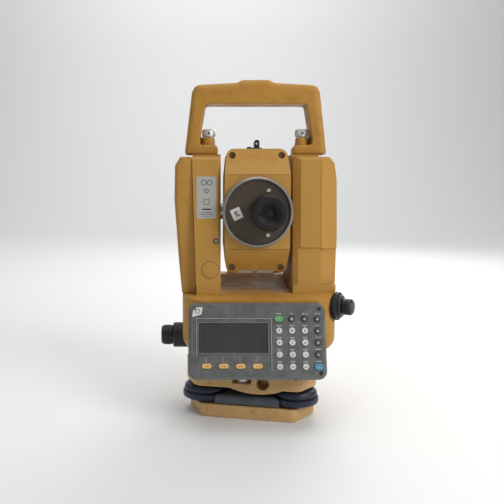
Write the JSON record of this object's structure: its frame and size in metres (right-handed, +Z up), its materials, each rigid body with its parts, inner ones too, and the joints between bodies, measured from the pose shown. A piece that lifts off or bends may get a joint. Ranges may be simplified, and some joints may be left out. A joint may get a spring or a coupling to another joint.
{
  "type": "surveying total station",
  "caption": "Surveying total station on a three-screw tribrach: carrying handle, transiting telescope between two standards, slanted keyboard with display, side battery.",
  "frame": {"origin": "centre of the tripod thread in the underside of the base plate, on the instrument's vertical axis", "axes": "+Z up along the vertical axis; the keyboard faces -Y; +X to the right seen from the keyboard side"},
  "size_m": [0.1921, 0.1588, 0.337],
  "materials": {
    "yellow_paint": "satin",
    "yellow_plastic": "satin",
    "dark_knob": "satin",
    "dark_cover": "satin",
    "black_plastic": "satin",
    "steel": "brushed",
    "aluminium": "satin",
    "panel_grey": "satin",
    "window": "gloss",
    "key_white": "matte",
    "key_dark": "matte",
    "key_orange": "matte",
    "key_green": "matte",
    "key_blue": "matte",
    "ring_grey": "satin",
    "plate_brown": "satin",
    "optics": "gloss",
    "level_cup": "satin"
  },
  "bodies": {
    "base": {"base_plate": "yellow_paint", "spring_plate": "dark_cover"},
    "foot_c": {"foot_screw_c": "dark_knob"},
    "tribrach": {"tribrach_body": "yellow_paint", "circular_level": "level_cup", "spindle": "steel"},
    "foot_a": {"foot_screw_a": "dark_knob"},
    "foot_b": {"foot_screw_b": "dark_knob"},
    "lever": {"lock_lever": "black_plastic"},
    "alidade": {"lower_housing": "yellow_plastic", "left_standard": "yellow_plastic", "right_standard": "yellow_plastic", "circle_cover": "yellow_plastic", "control_housings": "black_plastic", "plate_level": "level_cup", "keypad_housing": "panel_grey", "display_window": "window"},
    "telescope": {"telescope_body": "yellow_plastic", "telescope_covers": "yellow_plastic", "objective_lens": "optics", "peep_sight": "black_plastic", "eyepiece_plate": "plate_brown", "trunnion_axle": "steel"},
    "focus_ring": {"focus_ring": "ring_grey"},
    "focus_lens": {"focus_lens": "optics"},
    "eyepiece": {"eyepiece": "black_plastic"},
    "h_clamp": {"h_clamp": "black_plastic"},
    "h_tangent": {"h_tangent": "black_plastic"},
    "v_clamp": {"v_clamp": "black_plastic"},
    "v_tangent": {"v_tangent": "black_plastic"},
    "plummet_eyepiece": {"plummet_eyepiece": "black_plastic"},
    "handle": {"handle": "yellow_plastic"},
    "handle_screw_left": {"handle_screw_left": "aluminium"},
    "handle_screw_right": {"handle_screw_right": "aluminium"},
    "battery": {"battery_pack": "yellow_plastic"},
    "battery_latch": {"battery_latch": "black_plastic"},
    "key_f1": {"key_f1": "key_orange"},
    "key_f2": {"key_f2": "key_orange"},
    "key_f3": {"key_f3": "key_orange"},
    "key_f4": {"key_f4": "key_orange"},
    "key_power": {"key_power": "key_green"},
    "key_star": {"key_star": "key_dark"},
    "key_left": {"key_left": "key_dark"},
    "key_right": {"key_right": "key_dark"},
    "key_7": {"key_7": "key_white"},
    "key_8": {"key_8": "key_white"},
    "key_9": {"key_9": "key_white"},
    "key_up": {"key_up": "key_dark"},
    "key_4": {"key_4": "key_white"},
    "key_5": {"key_5": "key_white"},
    "key_6": {"key_6": "key_white"},
    "key_down": {"key_down": "key_dark"},
    "key_1": {"key_1": "key_white"},
    "key_2": {"key_2": "key_white"},
    "key_3": {"key_3": "key_white"},
    "key_esc": {"key_esc": "key_dark"},
    "key_0": {"key_0": "key_white"},
    "key_dot": {"key_dot": "key_white"},
    "key_minus": {"key_minus": "key_white"},
    "key_enter": {"key_enter": "key_blue"}
  },
  "joints": [
    {"name": "foot_screw_c_turn", "type": "hinge", "parent": "base", "child": "foot_c", "pos_m": [0.01102, 0.05184, 0.007], "axis": [0, 0, 1], "range_deg": [-999, 999]},
    {"name": "level_tilt", "type": "hinge", "parent": "base", "child": "tribrach", "pos_m": [0.03939, -0.03546, 0.007], "axis": [0.9781, -0.2079, 0], "range_deg": [-2.02, 2.02]},
    {"name": "alidade_turn", "type": "hinge", "parent": "tribrach", "child": "alidade", "pos_m": [0, 0, 0.09], "axis": [0, 0, 1], "continuous": true},
    {"name": "telescope_turn", "type": "hinge", "parent": "alidade", "child": "telescope", "pos_m": [0, 0, 0.2055], "axis": [1, 0, 0], "continuous": true},
    {"name": "handle_lift", "type": "slide", "parent": "alidade", "child": "handle", "axis": [0, 0, 1], "range_m": [0, 0.04]},
    {"name": "battery_slide", "type": "slide", "parent": "alidade", "child": "battery", "axis": [-1, 0, 0], "range_m": [0, 0.05]},
    {"name": "battery_latch_press", "type": "slide", "parent": "battery", "child": "battery_latch", "axis": [0, 0, -1], "range_m": [0, 0.002], "stiffness_N_per_m": 800, "springref_m": -0.001},
    {"name": "focus_ring_turn", "type": "hinge", "parent": "telescope", "child": "focus_ring", "pos_m": [0, -0.045, 0.2055], "axis": [0, -1, 0], "range_deg": [0, 300]},
    {"name": "focus_lens_slide", "type": "slide", "parent": "telescope", "child": "focus_lens", "axis": [0, 1, 0], "range_m": [0, 0.0151]},
    {"name": "eyepiece_turn", "type": "hinge", "parent": "telescope", "child": "eyepiece", "pos_m": [0.0095, -0.06, 0.2055], "axis": [0, -1, 0], "range_deg": [-150, 150]},
    {"name": "lock_lever_turn", "type": "hinge", "parent": "tribrach", "child": "lever", "pos_m": [0.04651, 0.01511, 0.038], "axis": [-0.9511, -0.309, 0], "range_deg": [0, 180]},
    {"name": "h_clamp_turn", "type": "hinge", "parent": "alidade", "child": "h_clamp", "pos_m": [0.058, -0.03, 0.1135], "axis": [0.866, -0.5, 0], "range_deg": [0, 60]},
    {"name": "h_tangent_turn", "type": "hinge", "parent": "alidade", "child": "h_tangent", "pos_m": [0.058, -0.03, 0.1135], "axis": [0.866, -0.5, 0], "range_deg": [-1800, 1800]},
    {"name": "v_clamp_turn", "type": "hinge", "parent": "alidade", "child": "v_clamp", "pos_m": [0.0495, 0.03, 0.156], "axis": [0, 1, 0], "range_deg": [0, 60]},
    {"name": "v_tangent_turn", "type": "hinge", "parent": "alidade", "child": "v_tangent", "pos_m": [0.0495, 0.03, 0.156], "axis": [0, 1, 0], "range_deg": [-1800, 1800]},
    {"name": "plummet_eyepiece_turn", "type": "hinge", "parent": "alidade", "child": "plummet_eyepiece", "pos_m": [-0.085, -0.01, 0.077], "axis": [-1, 0, 0], "range_deg": [-150, 150]},
    {"name": "handle_screw_left_turn", "type": "hinge", "parent": "handle", "child": "handle_screw_left", "pos_m": [-0.0474, 0, 0.284], "axis": [0, 0, 1], "range_deg": [0, 1080]},
    {"name": "handle_screw_right_turn", "type": "hinge", "parent": "handle", "child": "handle_screw_right", "pos_m": [0.0474, 0, 0.284], "axis": [0, 0, 1], "range_deg": [0, 1080]},
    {"name": "foot_screw_b_turn", "type": "hinge", "parent": "tribrach", "child": "foot_b", "pos_m": [-0.05041, -0.01638, 0.007], "axis": [0, 0, 1], "range_deg": [-999, 999]},
    {"name": "foot_screw_a_turn", "type": "hinge", "parent": "tribrach", "child": "foot_a", "pos_m": [0.03939, -0.03546, 0.007], "axis": [0, 0, 1], "range_deg": [-999, 999]},
    {"name": "key_f1_press", "type": "slide", "parent": "alidade", "child": "key_f1", "axis": [0, 0.9516, -0.3074], "range_m": [0, 0.0008], "stiffness_N_per_m": 400, "springref_m": -0.0005},
    {"name": "key_f2_press", "type": "slide", "parent": "alidade", "child": "key_f2", "axis": [0, 0.9516, -0.3074], "range_m": [0, 0.0008], "stiffness_N_per_m": 400, "springref_m": -0.0005},
    {"name": "key_f3_press", "type": "slide", "parent": "alidade", "child": "key_f3", "axis": [0, 0.9516, -0.3074], "range_m": [0, 0.0008], "stiffness_N_per_m": 400, "springref_m": -0.0005},
    {"name": "key_f4_press", "type": "slide", "parent": "alidade", "child": "key_f4", "axis": [0, 0.9516, -0.3074], "range_m": [0, 0.0008], "stiffness_N_per_m": 400, "springref_m": -0.0005},
    {"name": "key_power_press", "type": "slide", "parent": "alidade", "child": "key_power", "axis": [0, 0.9516, -0.3074], "range_m": [0, 0.0008], "stiffness_N_per_m": 400, "springref_m": -0.0005},
    {"name": "key_star_press", "type": "slide", "parent": "alidade", "child": "key_star", "axis": [0, 0.9516, -0.3074], "range_m": [0, 0.0008], "stiffness_N_per_m": 400, "springref_m": -0.0005},
    {"name": "key_left_press", "type": "slide", "parent": "alidade", "child": "key_left", "axis": [0, 0.9516, -0.3074], "range_m": [0, 0.0008], "stiffness_N_per_m": 400, "springref_m": -0.0005},
    {"name": "key_right_press", "type": "slide", "parent": "alidade", "child": "key_right", "axis": [0, 0.9516, -0.3074], "range_m": [0, 0.0008], "stiffness_N_per_m": 400, "springref_m": -0.0005},
    {"name": "key_7_press", "type": "slide", "parent": "alidade", "child": "key_7", "axis": [0, 0.9516, -0.3074], "range_m": [0, 0.0008], "stiffness_N_per_m": 400, "springref_m": -0.0005},
    {"name": "key_8_press", "type": "slide", "parent": "alidade", "child": "key_8", "axis": [0, 0.9516, -0.3074], "range_m": [0, 0.0008], "stiffness_N_per_m": 400, "springref_m": -0.0005},
    {"name": "key_9_press", "type": "slide", "parent": "alidade", "child": "key_9", "axis": [0, 0.9516, -0.3074], "range_m": [0, 0.0008], "stiffness_N_per_m": 400, "springref_m": -0.0005},
    {"name": "key_up_press", "type": "slide", "parent": "alidade", "child": "key_up", "axis": [0, 0.9516, -0.3074], "range_m": [0, 0.0008], "stiffness_N_per_m": 400, "springref_m": -0.0005},
    {"name": "key_4_press", "type": "slide", "parent": "alidade", "child": "key_4", "axis": [0, 0.9516, -0.3074], "range_m": [0, 0.0008], "stiffness_N_per_m": 400, "springref_m": -0.0005},
    {"name": "key_5_press", "type": "slide", "parent": "alidade", "child": "key_5", "axis": [0, 0.9516, -0.3074], "range_m": [0, 0.0008], "stiffness_N_per_m": 400, "springref_m": -0.0005},
    {"name": "key_6_press", "type": "slide", "parent": "alidade", "child": "key_6", "axis": [0, 0.9516, -0.3074], "range_m": [0, 0.0008], "stiffness_N_per_m": 400, "springref_m": -0.0005},
    {"name": "key_down_press", "type": "slide", "parent": "alidade", "child": "key_down", "axis": [0, 0.9516, -0.3074], "range_m": [0, 0.0008], "stiffness_N_per_m": 400, "springref_m": -0.0005},
    {"name": "key_1_press", "type": "slide", "parent": "alidade", "child": "key_1", "axis": [0, 0.9516, -0.3074], "range_m": [0, 0.0008], "stiffness_N_per_m": 400, "springref_m": -0.0005},
    {"name": "key_2_press", "type": "slide", "parent": "alidade", "child": "key_2", "axis": [0, 0.9516, -0.3074], "range_m": [0, 0.0008], "stiffness_N_per_m": 400, "springref_m": -0.0005},
    {"name": "key_3_press", "type": "slide", "parent": "alidade", "child": "key_3", "axis": [0, 0.9516, -0.3074], "range_m": [0, 0.0008], "stiffness_N_per_m": 400, "springref_m": -0.0005},
    {"name": "key_esc_press", "type": "slide", "parent": "alidade", "child": "key_esc", "axis": [0, 0.9516, -0.3074], "range_m": [0, 0.0008], "stiffness_N_per_m": 400, "springref_m": -0.0005},
    {"name": "key_0_press", "type": "slide", "parent": "alidade", "child": "key_0", "axis": [0, 0.9516, -0.3074], "range_m": [0, 0.0008], "stiffness_N_per_m": 400, "springref_m": -0.0005},
    {"name": "key_dot_press", "type": "slide", "parent": "alidade", "child": "key_dot", "axis": [0, 0.9516, -0.3074], "range_m": [0, 0.0008], "stiffness_N_per_m": 400, "springref_m": -0.0005},
    {"name": "key_minus_press", "type": "slide", "parent": "alidade", "child": "key_minus", "axis": [0, 0.9516, -0.3074], "range_m": [0, 0.0008], "stiffness_N_per_m": 400, "springref_m": -0.0005},
    {"name": "key_enter_press", "type": "slide", "parent": "alidade", "child": "key_enter", "axis": [0, 0.9516, -0.3074], "range_m": [0, 0.0008], "stiffness_N_per_m": 400, "springref_m": -0.0005}
  ],
  "couplings": [
    {"joint": "level_tilt", "follows": "foot_screw_c_turn", "ratio": -0.0020019},
    {"joint": "focus_lens_slide", "follows": "focus_ring_turn", "m_per_rad": 0.0028648}
  ]
}
